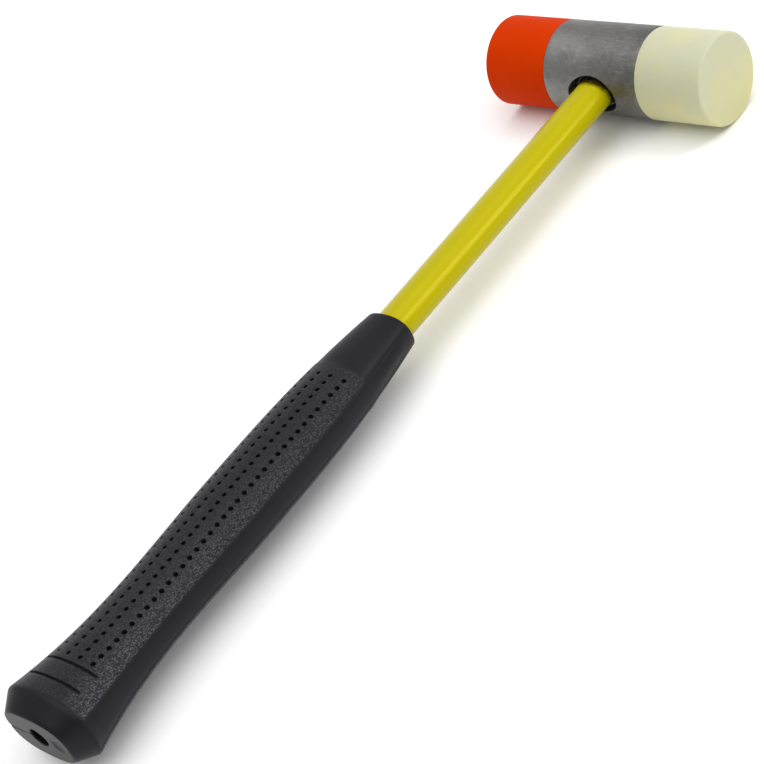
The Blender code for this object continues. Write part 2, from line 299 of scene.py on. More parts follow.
def closed_skin(rings, looped=False):
    """A mesh of the rings, closed by a flat face at each end unless it is looped."""
    bm = bmesh.new()
    loops = skin(bm, rings, looped)
    if not looped:
        bm.faces.new(loops[0])
        bm.faces.new(loops[-1])
    return bm


def add_piece(name, bm, node, material, sharp_degrees=40):
    """Turns the mesh into a piece that stands for a CAD node, rides on its body and has its finish."""
    bmesh.ops.recalc_face_normals(bm, faces=bm.faces)
    mesh = bpy.data.meshes.new(name)
    bm.to_mesh(mesh)
    bm.free()
    mesh.shade_smooth()
    mesh.set_sharp_from_angle(angle=math.radians(sharp_degrees))
    piece = bpy.data.objects.new(name, mesh)
    bpy.context.scene.collection.objects.link(piece)
    mesh.materials.append(material)
    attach(piece, frame["nodes"][node]["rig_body"])
    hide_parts(node)
    return piece


# Materials


def add_node(tree, kind, inputs=None, **settings):
    """A node with its settings, whose inputs are given as values or as the sockets that feed them."""
    node = tree.nodes.new(kind)
    for name, value in settings.items():
        setattr(node, name, value)
    for name, value in (inputs or {}).items():
        if isinstance(value, bpy.types.NodeSocket):
            tree.links.new(value, node.inputs[name])
        else:
            node.inputs[name].default_value = value
    return node


def new_material(name, **constants):
    """A material and its Principled shader, with the inputs that are the same all over."""
    material = bpy.data.materials.new(name)
    material.use_nodes = True
    shader = material.node_tree.nodes["Principled BSDF"]
    for socket, value in constants.items():
        shader.inputs[socket.replace("_", " ")].default_value = value
    return material, material.node_tree, shader


def place_on_piece(tree, stretch=(1.0, 1.0, 1.0)):
    """The point on the piece, in metres, with each axis stretched by its factor."""
    coordinates = add_node(tree, "ShaderNodeTexCoord").outputs["Object"]
    return add_node(tree, "ShaderNodeMapping", {"Vector": coordinates, "Scale": stretch}).outputs["Vector"]


def noise(tree, place, size, detail=3.0, roughness=0.5):
    """Cloudy noise from 0 to 1 whose patches are about this size."""
    inputs = {"Vector": place, "Scale": 1 / size, "Detail": detail, "Roughness": roughness}
    return add_node(tree, "ShaderNodeTexNoise", inputs).outputs["Fac"]


def spread(tree, value, low, high, start=0.0, end=1.0):
    """The value's stretch from start to end, spread over low to high."""
    inputs = {"Value": value, "From Min": start, "From Max": end, "To Min": low, "To Max": high}
    return add_node(tree, "ShaderNodeMapRange", inputs).outputs["Result"]


def mixed_colour(tree, share, first, second):
    """Two colours mixed by the share, each a socket or three numbers."""
    node = tree.nodes.new("ShaderNodeMix")
    node.data_type = "RGBA"
    tree.links.new(share, node.inputs["Factor"])
    for socket, colour in zip((node.inputs[6], node.inputs[7]), (first, second)):
        if isinstance(colour, bpy.types.NodeSocket):
            tree.links.new(colour, socket)
        else:
            socket.default_value = (*colour, 1.0)
    return node.outputs[2]


def combine(tree, operation, first, second):
    """Two values, each a socket or a number, put together by this operation."""
    node = add_node(tree, "ShaderNodeMath", operation=operation)
    for socket, value in zip(node.inputs, (first, second)):
        if isinstance(value, bpy.types.NodeSocket):
            tree.links.new(value, socket)
        else:
            socket.default_value = value
    return node.outputs["Value"]


def bump(tree, height, depth, strength=1.0, under=None):
    """A normal from a height of 0 to 1 and the real depth in metres."""
    inputs = {"Height": height, "Distance": depth, "Strength": strength}
    if under is not None:
        inputs["Normal"] = under
    return add_node(tree, "ShaderNodeBump", inputs).outputs["Normal"]


def feed(tree, shader, **sockets):
    """Links each socket to the shader's input of that name."""
    for name, socket in sockets.items():
        tree.links.new(socket, shader.inputs[name.replace("_", " ")])


def steel_material():
    """Ground bar steel: cloudy grey, with painted light that makes it paler by the soft tip, marks round
    the bar, stains and scuffs.
    """
    material, tree, shader = new_material("head_steel", Metallic=1.0)
    place = place_on_piece(tree)
    clouds = noise(tree, place, 9 * MM, 4.0, 0.6)
    stains = spread(tree, noise(tree, place, 5 * MM, 5.0, 0.65), 0.0, 1.0, 0.50, 0.72)
    marks = noise(tree, place_on_piece(tree, (1.0, 0.03, 0.03)), 0.16 * MM, 2.0, 0.6)
    mottle = noise(tree, place_on_piece(tree, (0.45, 1.0, 1.0)), 0.9 * MM, 3.0, 0.6)
    scuffs = noise(tree, place_on_piece(tree, (0.25, 1.0, 1.0)), 1.1 * MM, 4.0, 0.6)
    scuffs = spread(tree, scuffs, 0.0, 1.0, 0.56, 0.70)
    scuffed = combine(tree, "MULTIPLY", scuffs, spread(tree, clouds, 0.0, 1.0, 0.4, 0.6))
    along_head = add_node(tree, "ShaderNodeSeparateXYZ", {"Vector": place}).outputs["X"]
    # Painted light: the steel is painted paler towards the soft tip.
    painted_light_by_soft_tip = spread(tree, along_head, 0.6, 0.0, -SEAM, SEAM)
    clouds_and_painted_light = combine(tree, "ADD", painted_light_by_soft_tip, spread(tree, clouds, -0.2, 0.5))
    base = mixed_colour(tree, clouds_and_painted_light, *STEEL)
    speckled = mixed_colour(tree, spread(tree, mottle, 0.0, 0.45, 0.35, 0.75), base, STEEL_SPECKLE)
    stained = mixed_colour(tree, combine(tree, "MULTIPLY", stains, 0.45), speckled, STEEL_STAIN)
    scuffs_and_glints = mixed_colour(tree, combine(tree, "MULTIPLY", scuffed, 0.45), stained, STEEL_SCUFF)
    roughness = combine(tree, "ADD", spread(tree, clouds, 0.52, 0.42), spread(tree, marks, -0.04, 0.04))
    feed(tree, shader, Base_Color=scuffs_and_glints, Roughness=roughness, Normal=bump(tree, marks, 0.006 * MM, 0.6))
    return material


def zinc_material():
    """Plated steel of the studs."""
    material, tree, shader = new_material("stud_zinc", Metallic=1.0)
    clouds = noise(tree, place_on_piece(tree), 3 * MM, 4.0, 0.6)
    colour = mixed_colour(tree, clouds, *ZINC)
    feed(tree, shader, Base_Color=colour, Roughness=spread(tree, clouds, 0.42, 0.26))
    return material


def soft_plastic_material():
    """Cast orange urethane: even colour with faint clouding and a satin skin."""
    tint = (1.0, 0.3, 0.05, 1.0)
    material, tree, shader = new_material("orange_tip", Specular_IOR_Level=0.05, Specular_Tint=tint)
    place = place_on_piece(tree)
    clouds = noise(tree, place, 12 * MM, 3.0, 0.5)
    grain = noise(tree, place, 0.35 * MM, 2.0, 0.5)
    colour = mixed_colour(tree, clouds, *ORANGE)
    feed(tree, shader, Base_Color=colour, Roughness=spread(tree, grain, 0.55, 0.68))
    feed(tree, shader, Normal=bump(tree, grain, 0.012 * MM, 0.5))
    return material


def hard_plastic_material():
    """Ivory nylon turned from bar: light goes into it, painted light makes it yellower low down, and it has
    faint tool rings.
    """
    material, tree, shader = new_material("ivory_tip", Specular_IOR_Level=0.25, Subsurface_Weight=0.35)
    shader.inputs["Subsurface Radius"].default_value = (4.0 * MM, 4.0 * MM, 2.0 * MM)
    shader.inputs["Subsurface Scale"].default_value = 1.0
    place = place_on_piece(tree)
    clouds = noise(tree, place, 14 * MM, 3.0, 0.5)
    rings = noise(tree, place_on_piece(tree, (1.0, 0.02, 0.02)), 0.22 * MM, 2.0, 0.6)
    height = add_node(tree, "ShaderNodeSeparateXYZ", {"Vector": place}).outputs["Z"]
    # Painted light: the ivory is painted yellower towards the bottom.
    painted_light_low_down = spread(tree, height, 0.6, 0.0, HEAD.z - HEAD_RADIUS / 2, HEAD.z + HEAD_RADIUS / 2)
    clouds_and_painted_low_light = combine(tree, "ADD", painted_light_low_down, spread(tree, clouds, 0.0, 0.5, 0.35, 0.65))
    colour = mixed_colour(tree, clouds_and_painted_low_light, *IVORY)
    roughness = spread(tree, combine(tree, "ADD", clouds, rings), 0.38, 0.52, 0.4, 1.6)
    feed(tree, shader, Base_Color=colour, Roughness=roughness, Normal=bump(tree, rings, 0.008 * MM, 0.5))
    return material


def fibreglass_material():
    """Pultruded yellow rod: streaks along the fibres, a few specks, and painted shadow where it goes into
    the near mouth.
    """
    tint = (1.0, 0.85, 0.12, 1.0)
    material, tree, shader = new_material("yellow_shaft", Specular_IOR_Level=0.40, Specular_Tint=tint)
    along = place_on_piece(tree, (1.0, 0.02, 1.0))
    streaks = noise(tree, along, 0.9 * MM, 3.0, 0.55)
    cells = add_node(tree, "ShaderNodeTexVoronoi", {"Vector": place_on_piece(tree), "Scale": 1 / (7 * MM)})
    specks = spread(tree, cells.outputs["Distance"], 1.0, 0.0, 0.03, 0.05)
    base = mixed_colour(tree, streaks, *YELLOW)
    unshadowed_yellow = mixed_colour(tree, combine(tree, "MULTIPLY", specks, 0.6), base, YELLOW_SPECK)
    # Painted shadow: the shaft is painted dark brown where it goes into the near mouth, with a ragged edge.
    place = place_on_piece(tree)
    down_handle = add_node(tree, "ShaderNodeSeparateXYZ", {"Vector": place}).outputs["Y"]
    ragged = spread(tree, noise(tree, place, 3.5 * MM, 3.0, 0.6), -2.0 * MM, 2.0 * MM)
    nearness = combine(tree, "ADD", down_handle, ragged)
    root_shadow_share = spread(tree, nearness, 0.0, 1.0, HEAD.y - ROOT_SHADOW_FADE[1], HEAD.y - ROOT_SHADOW_FADE[0])
    in_near_mouth = spread(tree, down_handle, 1.0, 0.0, HEAD.y - BOND_NEAR_END, HEAD.y)
    colour = mixed_colour(tree, combine(tree, "MULTIPLY", root_shadow_share, in_near_mouth), unshadowed_yellow, PAINTED_ROOT_SHADOW)
    feed(tree, shader, Base_Color=colour, Roughness=spread(tree, streaks, 0.20, 0.30))
    feed(tree, shader, Normal=bump(tree, streaks, 0.01 * MM, 0.3))
    return material


def epoxy_material():
    """Poured black epoxy with a lumpy gloss."""
    material, tree, shader = new_material("eye_epoxy")
    lumps = noise(tree, place_on_piece(tree), 2.5 * MM, 3.0, 0.5)
    colour = mixed_colour(tree, lumps, *EPOXY)
    feed(tree, shader, Base_Color=colour, Roughness=spread(tree, lumps, 0.25, 0.45))
    feed(tree, shader, Normal=bump(tree, lumps, 0.3 * MM, 0.5))
    return material


def seal_material():
    """Matt black rubber of the seal rings."""
    material, tree, shader = new_material("seal_rubber")
    grain = noise(tree, place_on_piece(tree), 0.5 * MM, 3.0, 0.5)
    colour = mixed_colour(tree, grain, *SEAL)
    feed(tree, shader, Base_Color=colour, Roughness=spread(tree, grain, 0.50, 0.65))
    return material


def grip_material():
    """Moulded black rubber: pebbling as its attribute says, painted glints on the bumps that are strongest
    by the butt, and painted shade and a duller finish in the dimples and the butt's hole.
    """
    tint = (0.90, 0.88, 1.0, 1.0)
    material, tree, shader = new_material("grip_rubber", Specular_IOR_Level=0.20, Specular_Tint=tint)
    place = place_on_piece(tree)
    down_handle = add_node(tree, "ShaderNodeSeparateXYZ", {"Vector": place}).outputs["Y"]
    pebble_and_glint_mask = add_node(tree, "ShaderNodeAttribute", attribute_name="pebble_and_glint").outputs["Fac"]
    hollow_and_shade = add_node(tree, "ShaderNodeAttribute", attribute_name="hollow_and_shade").outputs["Fac"]
    cells = add_node(tree, "ShaderNodeTexVoronoi", {"Vector": place, "Scale": 1 / (0.60 * MM)})
    domes = spread(tree, cells.outputs["Distance"], 1.0, 0.0, 0.0, 0.75)
    fine = noise(tree, place, 0.3 * MM, 2.0, 0.5)
    clouds = noise(tree, place, 11 * MM, 3.0, 0.5)
    height = combine(tree, "ADD", domes, combine(tree, "MULTIPLY", fine, 0.4))
    smooth_roughness = spread(tree, clouds, 0.38, 0.46)
    face_end = 0.4 * MM - HANDLE_REACH + HEAD.y
    bevel_start = 1.0 * MM - HANDLE_REACH + HEAD.y
    glossier_face = spread(tree, down_handle, -0.05, 0.0, face_end, bevel_start)
    dulled = combine(tree, "ADD", smooth_roughness, combine(tree, "MULTIPLY", hollow_and_shade, 0.5))
    roughness = combine(tree, "ADD", dulled, glossier_face)
    smooth = mixed_colour(tree, clouds, *RUBBER)
    # Painted glints: the pebbles' crowns are painted lighter, more so towards the butt, as highlights.
    varied = spread(tree, cells.outputs["Color"], 0.1, 1.0)
    glint_crowns = combine(tree, "MULTIPLY", spread(tree, domes, 0.1, 1.0, 0.1, 0.6), varied)
    glints_toward_butt = spread(tree, down_handle, 1.0, 0.45, HEAD.y - FLARE, HEAD.y - PANEL_START)
    scuffs_and_glints = combine(tree, "MULTIPLY", combine(tree, "MULTIPLY", pebble_and_glint_mask, glint_crowns), glints_toward_butt)
    glinting_rubber = mixed_colour(tree, scuffs_and_glints, smooth, PEBBLE_GLINT)
    # Painted shade: the dimples and the butt's hole are painted nearly black, darkest where deepest.
    colour = mixed_colour(tree, hollow_and_shade, glinting_rubber, PAINTED_HOLLOW_SHADE)
    feed(tree, shader, Base_Color=colour, Roughness=roughness)
    strength = spread(tree, pebble_and_glint_mask, 0.04, 1.0)
    feed(tree, shader, Normal=bump(tree, height, 0.24 * MM, strength))
    return material


# Head


def eye_half_sizes(distance):
    """Half width and half height of the eye, which flares from its waist to both mouths."""
    return blend(EYE_WAIST, EYE_MOUTH, (distance / HEAD_RADIUS) ** 2)


def eye_rim_point(angle):
    """(x, z) where the eye meets the round of the head, in this direction of the eye's oval."""
    distance = HEAD_RADIUS
    for _ in range(4):
        x, z = oval_point(*eye_half_sizes(distance), angle)
        distance = math.sqrt(HEAD_RADIUS**2 - z**2)
    return x, z


def mouth_rings(side, shoulder):
    """Rings on one half of the head's round, from the half's border to the eye's rim and just into the eye.

    The border is the half's outline: both end circles' halves and the lines along the top and underside.
    Points go out from the rim to the border in straight lines on the unrolled round. side is -1 towards the
    grip and 1 away.
    """
    segments_round, segments_along = TURNED_SEGMENTS // 2, SEGMENTS_ALONG_HEAD
    quarter = HEAD_RADIUS * TURN / 4
    border = []
    for i in range(segments_round):
        border.append((shoulder, quarter * (2 * i / segments_round - 1)))
    for i in range(segments_along):
        border.append((shoulder * (1 - 2 * i / segments_along), quarter))
    border += [(-x, -w) for x, w in border]

    def on_round(x, w, sink=0.0):
        angle = w / HEAD_RADIUS
        reach = HEAD_RADIUS * math.cos(angle) - sink
        return HEAD + Vector((x, side * reach, HEAD_RADIUS * math.sin(angle)))

    mouth_width, mouth_height = EYE_MOUTH
    angles = [math.atan2(w / mouth_height, x / mouth_width) for x, w in border]
    rims = [eye_rim_point(a) for a in angles]
    rims = [(x, HEAD_RADIUS * math.asin(z / HEAD_RADIUS)) for x, z in rims]
    rings = []
    for k in range(MOUTH_RINGS):
        share = (k / MOUTH_RINGS) ** 0.8
        rings.append([on_round(*blend(b, r, share)) for b, r in zip(border, rims)])
    for swing in (90, 67, 45, 22, 0):
        out = EYE_EDGE * (1 - math.cos(math.radians(swing)))
        sink = EYE_EDGE * (1 - math.sin(math.radians(swing)))
        ring = []
        for (x, w), a in zip(rims, angles):
            ring.append(on_round(x + out * math.cos(a), w + out * math.sin(a), sink))
        rings.append(ring)
    rings[0] = [on_round(*b) for b in border]
    return rings, angles


def head_body():
    """The steel body: both halves of its round, the eye between them, and a socketed face at each end."""
    bm = bmesh.new()
    shoulder = SEAM - BODY_CHAMFER
    tunnel = []
    for side in (-1, 1):
        rings, angles = mouth_rings(side, shoulder)
        loops = skin(bm, rings)
        tunnel.append(loops[-1])
    inner = []
    for k in range(1, TUNNEL_RINGS):
        distance = TUNNEL_REACH * (1 - 2 * k / TUNNEL_RINGS)
        sizes = eye_half_sizes(distance)
        inner.append(across([oval_point(*sizes, a) for a in angles], distance))
    skin(bm, [tunnel[0], *inner, tunnel[1]])
    chamfer = rounded((shoulder, HEAD_RADIUS - BODY_CHAMFER), BODY_CHAMFER, 90, 0, 4)
    end = chamfer + [
        (SEAM, RING_SEAT_RADIUS + RING_SEAT_EDGE),
        (SEAM - RING_SEAT_EDGE, RING_SEAT_RADIUS),
        (SEAM - RING_SEAT_DEPTH, RING_SEAT_RADIUS),
        (SEAM - RING_SEAT_DEPTH, SOCKET_RADIUS + SOCKET_EDGE),
        (SEAM - RING_SEAT_DEPTH - SOCKET_EDGE, SOCKET_RADIUS),
        (SEAM - SOCKET_DEPTH, SOCKET_RADIUS),
    ]
    for side in (-1, 1):
        loops = skin(bm, turned(end, side))
        bm.faces.new(loops[-1])
    bmesh.ops.remove_doubles(bm, verts=bm.verts, dist=WELD_DISTANCE)
    add_piece("head_steel_body", bm, "head_body", steel_material(), 30)


def tip(name, node, side, material):
    """A striking tip: pocket for the stud's anchor, flat back, round, and rounded edge to the flat face."""
    back = SEAM + SEAM_GAP
    outline = [
        (back + ANCHOR_POCKET_DEPTH, ANCHOR_POCKET_RADIUS),
        (back, ANCHOR_POCKET_RADIUS),
    ]
    outline += rounded((back + TIP_BACK_EDGE, HEAD_RADIUS - TIP_BACK_EDGE), TIP_BACK_EDGE, 180, 90, 4)
    outline += rounded((TIP_END - TIP_EDGE, HEAD_RADIUS - TIP_EDGE), TIP_EDGE, 90, 0, 10)
    outline += [(TIP_END, (HEAD_RADIUS - TIP_EDGE) * share) for share in (0.75, 0.5, 0.25)]
    add_piece(name, closed_skin(turned(outline, side)), node, material, 60)


# Handle


def shaft():
    """The oval rod, with its cut end flush in the far mouth of the eye."""
    sections = (
        (SHAFT_EDGE, -SHAFT_FAR_END),
        (0.0, SHAFT_EDGE - SHAFT_FAR_END),
        (0.0, SHAFT_GRIP_END),
    )
    rings = []
    for drop, distance in sections:
        rings.append(across(oval(SHAFT_HALF_WIDTH - drop, SHAFT_HALF_HEIGHT - drop), distance))
    add_piece("fibreglass_shaft", closed_skin(rings), "handle_shaft", fibreglass_material())


def film_climb(angle):
    """How far the epoxy's film climbs the shaft at this angle, furthest on the hard tip's side."""
    ripple = sum(share * math.sin(waves * angle + phase) for share, waves, phase in BOND_RIPPLES)
    return BOND_CLIMB * (1 + BOND_LEAN * math.cos(angle) + ripple)


def eye_bond():
    """Epoxy round the shaft in the eye: its surface sags between steel and shaft, and climbs the shaft."""
    angles = [TURN * i / OVAL_SEGMENTS for i in range(OVAL_SEGMENTS)]
    rings = []
    for end, way in ((BOND_NEAR_END, 1), (-BOND_FAR_END, -1)):
        for i in range(BOND_STEPS + 1):
            share = i / BOND_STEPS if way > 0 else 1 - i / BOND_STEPS
            ring = []
            for angle in angles:
                climb = film_climb(angle) if share > 0.5 and way > 0 else BOND_EDGE_CLIMB
                sag = BOND_SAG * math.sin(math.pi * share)
                level = end + way * (climb * abs(2 * share - 1) ** 4 - sag)
                half_sizes = blend(eye_half_sizes(level), (SHAFT_HALF_WIDTH, SHAFT_HALF_HEIGHT), share)
                ring += across([oval_point(*half_sizes, angle)], level)
            rings.append(ring)
    add_piece("eye_epoxy", closed_skin(rings, looped=True), "eye_bond", epoxy_material())


def grip_half_height(distance):
    """Half height of the grip, by smooth curves between the stations of its outline."""
    for near, far in zip(GRIP_OUTLINE, GRIP_OUTLINE[1:]):
        if distance <= far[0]:
            break
    length = far[0] - near[0]
    t = (distance - near[0]) / length
    rise = 3 * t**2 - 2 * t**3
    start_slope = (t**3 - 2 * t**2 + t) * length * near[2]
    end_slope = (t**3 - t**2) * length * far[2]
    return near[1] + (far[1] - near[1]) * rise + start_slope + end_slope


def grip_half_sizes(distance):
    """Half width and half height of the grip, whose section is rounder at the collar."""
    share = min(1.0, (distance - GRIP_START) / (GRIP_FULL_OVAL - GRIP_START))
    half_height = grip_half_height(distance)
    return half_height * (COLLAR_OVAL + (GRIP_OVAL - COLLAR_OVAL) * share), half_height


def angle_at_height(share):
    """Angle of the grip's section at this share of its half height."""
    return math.asin(min(1.0, share) ** (GRIP_SQUARENESS / 2))


def angle_at_width(share):
    """Angle of the grip's section at this share of its half width, from -1 to 1."""
    return math.acos(math.copysign(abs(share) ** (GRIP_SQUARENESS / 2), share))


def crease_height(distance):
    """Height of the panel's edge, which is lowest midway along the panel."""
    along = min(1.0, max(0.0, (distance - PANEL_START) / (FLARE - PANEL_START)))
    share = CREASE_MIDWAY + (CREASE_NEAR_ENDS - CREASE_MIDWAY) * (2 * along - 1) ** 4
    return share * grip_half_height(distance)


def band_share(distance):
    """Half width of the dimpled band as a share of the grip's, which the slimmer collar narrows."""
    return BAND_HALF_WIDTH / grip_half_sizes(max(distance, DIMPLES_START))[0]


def column_angles(distance):
    """Angles of the grid's columns round the section: sides, creases, shoulders and the dimpled bands."""
    half_height = grip_half_height(distance)
    crease = crease_height(distance)
    lowest = crease + CREASE_COLUMNS[0]
    heights = [lowest * i / SIDE_COLUMNS for i in range(SIDE_COLUMNS)]
    heights += [crease + offset for offset in CREASE_COLUMNS]
    side = [angle_at_height(height / half_height) for height in heights]
    share = band_share(distance)
    edge = angle_at_width(share)
    shoulder = [side[-1] + (edge - side[-1]) * i / SHOULDER_COLUMNS for i in range(1, SHOULDER_COLUMNS)]
    quarter = side + shoulder
    band = [angle_at_width(share * (1 - 2 * i / BAND_COLUMNS)) for i in range(BAND_COLUMNS + 1)]
    upper = quarter + band + [math.pi - a for a in reversed(quarter[1:])]
    return upper + [math.pi + a for a in upper]


def groove_share(distance):
    """Depth across a groove, from 0 to 1: steep wall on the head's side, slow rise towards the butt."""
    for middle in GROOVES:
        offset = (distance - middle) / GROOVE_HALF_WIDTH
        if abs(offset) < 1:
            return smoothstep(offset, -1.0, -0.6) * (1 - smoothstep(offset, -0.5, 1.0))
    return 0.0


def grip_relief(distance, x, z):
    """How far the surface lies below its full outline, and how strong its pebbling and painted glints are,
    from 0 to 1.
    """
    above = abs(z) - crease_height(distance)
    on_top = smoothstep(above, *PANEL_EDGE_FADE)
    on_panel = smoothstep(distance, PANEL_START - PANEL_FADE, PANEL_START + PANEL_FADE)
    on_panel *= 1 - smoothstep(distance, FLARE - PANEL_FADE - FLARE_EDGE, FLARE - FLARE_EDGE)
    beside_panel = smoothstep(distance, *SIDE_STEP_START)
    beside_panel *= 1 - smoothstep(distance, *SIDE_STEP_END)
    depth = SIDE_STEP * beside_panel * (1 - smoothstep(above, CREASE_FOOT, CREASE_TOP))
    before_panel = 1 - smoothstep(distance, PANEL_START - PANEL_FADE, PANEL_START)
    depth += PANEL_STEP * on_top * before_panel * smoothstep(distance, *PANEL_STEP_RUN)
    beside_collar = (1 - beside_panel) * smoothstep(distance, COLLAR_CREASE_START, COLLAR_CREASE_FULL)
    back_to_full = smoothstep(abs(z), 0.0, abs(z) - above + CREASE_FOOT)
    depth += COLLAR_STEP * beside_collar * back_to_full * (1 - smoothstep(above, CREASE_FOOT, CREASE_TOP))
    groove = groove_share(distance) * (1 - smoothstep(abs(x), *GROOVE_END_FADE))
    depth += GROOVE_DEPTH * groove * on_top
    # The pebbles are strongest just above the crease, and so are their painted glints.
    coarse = 1 - smoothstep(above, *COARSE_PEBBLES_AND_GLINTS)
    pebble_and_glint = FINE_PEBBLE_AND_GLINT + (1 - FINE_PEBBLE_AND_GLINT) * coarse
    return depth, pebble_and_glint * on_top * on_panel * (1 - GROOVE_SMOOTHING * groove)


def grip_point(distance, angle):
    """A point on the grip with its relief, and its share of pebbling and painted glints."""
    half_width, half_height = grip_half_sizes(distance)
    x, z = oval_point(half_width, half_height, angle, GRIP_SQUARENESS)
    power = 2 - 2 / GRIP_SQUARENESS
    out_x = math.copysign(abs(math.cos(angle)) ** power, math.cos(angle)) / half_width
    out_z = math.copysign(abs(math.sin(angle)) ** power, math.sin(angle)) / half_height
    length = math.hypot(out_x, out_z)
    depth, pebble_and_glint = grip_relief(distance, x, z)
    return HEAD + Vector((x - depth * out_x / length, -distance, z - depth * out_z / length)), pebble_and_glint


def band_point(x, distance, upper, depth):
    """A point of the band, this far straight below its surface as moulded, and its share of pebbling and
    painted glints.
    """
    angle = angle_at_width(x / grip_half_sizes(distance)[0])
    surface, pebble_and_glint = grip_point(distance, angle if upper else -angle)
    return surface + Vector((0.0, 0.0, -depth if upper else depth)), pebble_and_glint


def spaced(start, end, step):
    """Distances from start up to but not at the end, about a step apart."""
    count = max(1, math.ceil((end - start) / step))
    return [start + (end - start) * i / count for i in range(count)]


def grid_rows():
    """Distances of the grid's rows, closer at the steps and grooves, and the first row of dimples."""
    rows = spaced(GRIP_START + COLLAR_EDGE, PANEL_START - PANEL_FADE, COLLAR_ROW_STEP)
    rows += spaced(PANEL_START - PANEL_FADE, PANEL_START + PANEL_FADE, FADE_ROW_STEP)
    rows += spaced(PANEL_START + PANEL_FADE, DIMPLES_START, PANEL_ROW_STEP)
    first_dimple_row = len(rows)
    rows += spaced(DIMPLES_START, DIMPLES_END, DIMPLE_PITCH / DIMPLE_CELL_ALONG)
    start = DIMPLES_END
    for middle in GROOVES:
        rows += spaced(start, middle - GROOVE_HALF_WIDTH, FLARE_ROW_STEP)
        rows += [middle + GROOVE_HALF_WIDTH * share for share in GROOVE_ROWS]
        start = middle + GROOVE_HALF_WIDTH
    rows += spaced(start, FLARE - FLARE_EDGE, FLARE_ROW_STEP)
    rows.append(FLARE - FLARE_EDGE)
    return rows, first_dimple_row


def dimple_cell(bm, grid, pebbles_and_glints, hollows_and_shade, corner, middle, sizes, upper):
    """Fills one cell of the band with a round dimple, joined to the grid's vertices round the cell."""
    row, column = corner
    middle_x, middle_distance = middle
    full_radius, full_depth = sizes
    across_count, along_count = DIMPLE_CELL_ACROSS, DIMPLE_CELL_ALONG
    outline = [(0, i) for i in range(across_count)]
    outline += [(i, across_count) for i in range(along_count)]
    outline += [(along_count, across_count - i) for i in range(across_count)]
    outline += [(along_count - i, 0) for i in range(along_count)]
    previous = [grid[row + r][(column + c) % len(grid[0])] for r, c in outline]
    directions = []
    for r, c in outline:
        along = (r / along_count - 0.5) * DIMPLE_PITCH
        sideways = (c / across_count - 0.5) * DIMPLE_ROW_GAP * (-1 if upper else 1)
        length = math.hypot(along, sideways)
        directions.append((along / length, sideways / length))
    for radius_share, depth_share in DIMPLE_PROFILE:
        radius = radius_share * full_radius
        ring = []
        for along, sideways in directions:
            place = (middle_x + sideways * radius, middle_distance + along * radius)
            point, pebble_and_glint = band_point(*place, upper, depth_share * full_depth)
            vertex = bm.verts.new(point)
            pebbles_and_glints[vertex] = pebble_and_glint if depth_share == 0.0 else 0.0
            # Share of painted shade and dulling: deeper dimples get more
            hollows_and_shade[vertex] = depth_share * full_depth / DIMPLE_DEPTHS[0]
            ring.append(vertex)
        for i in range(len(ring)):
            j = (i + 1) % len(ring)
            bm.faces.new((previous[i], previous[j], ring[j], ring[i]))
        previous = ring
    bm.faces.new(previous)


def grip():
    """The rubber sleeve, as one grid with round dimples let into its bands."""
    bm = bmesh.new()
    pebbles_and_glints, hollows_and_shade = {}, {}
    rows, first_dimple_row = grid_rows()
    grid = []
    for distance in rows:
        ring = []
        for angle in column_angles(distance):
            point, pebble_and_glint = grip_point(distance, angle)
            vertex = bm.verts.new(point)
            pebbles_and_glints[vertex] = pebble_and_glint
            ring.append(vertex)
        grid.append(ring)
    columns = len(grid[0])
    quarter = SIDE_COLUMNS + len(CREASE_COLUMNS) + SHOULDER_COLUMNS - 1
    band_starts = {True: quarter, False: quarter + columns // 2}
    dimple_rows = range(first_dimple_row, first_dimple_row + DIMPLES_PER_ROW * DIMPLE_CELL_ALONG)
    for r in range(len(grid) - 1):
        for c in range(columns):
            in_band = any(start <= c < start + BAND_COLUMNS for start in band_starts.values())
            if r in dimple_rows and in_band:
                continue
            d = (c + 1) % columns
            bm.faces.new((grid[r][c], grid[r][d], grid[r + 1][d], grid[r + 1][c]))
    for upper, start in band_starts.items():
        for k in range(DIMPLE_ROWS):
            middle_x = (k - (DIMPLE_ROWS - 1) / 2) * DIMPLE_ROW_GAP * (-1 if upper else 1)
            from_hard_side = k if upper else DIMPLE_ROWS - 1 - k
            sizes = (DIMPLE_RADII[from_hard_side], DIMPLE_DEPTHS[from_hard_side])
            for i in range(DIMPLES_PER_ROW):
                corner = (first_dimple_row + i * DIMPLE_CELL_ALONG, start + k * DIMPLE_CELL_ACROSS)
                middle = (middle_x, FIRST_DIMPLE + i * DIMPLE_PITCH)
                dimple_cell(bm, grid, pebbles_and_glints, hollows_and_shade, corner, middle, sizes, upper)
    hole = grip_ends(bm, grid[0], grid[-1])
    # Painted shade: the butt's hole is painted fully dark.
    hollows_and_shade.update(dict.fromkeys(hole, 1.0))
    values = {
        "pebble_and_glint": [pebbles_and_glints.get(vertex, 0.0) for vertex in bm.verts],
        "hollow_and_shade": [hollows_and_shade.get(vertex, 0.0) for vertex in bm.verts],
    }
    piece = add_piece("rubber_grip", bm, "grip", grip_material(), 50)
    for name, numbers in values.items():
        attribute = piece.data.attributes.new(name, "FLOAT", "POINT")
        attribute.data.foreach_set("value", numbers)


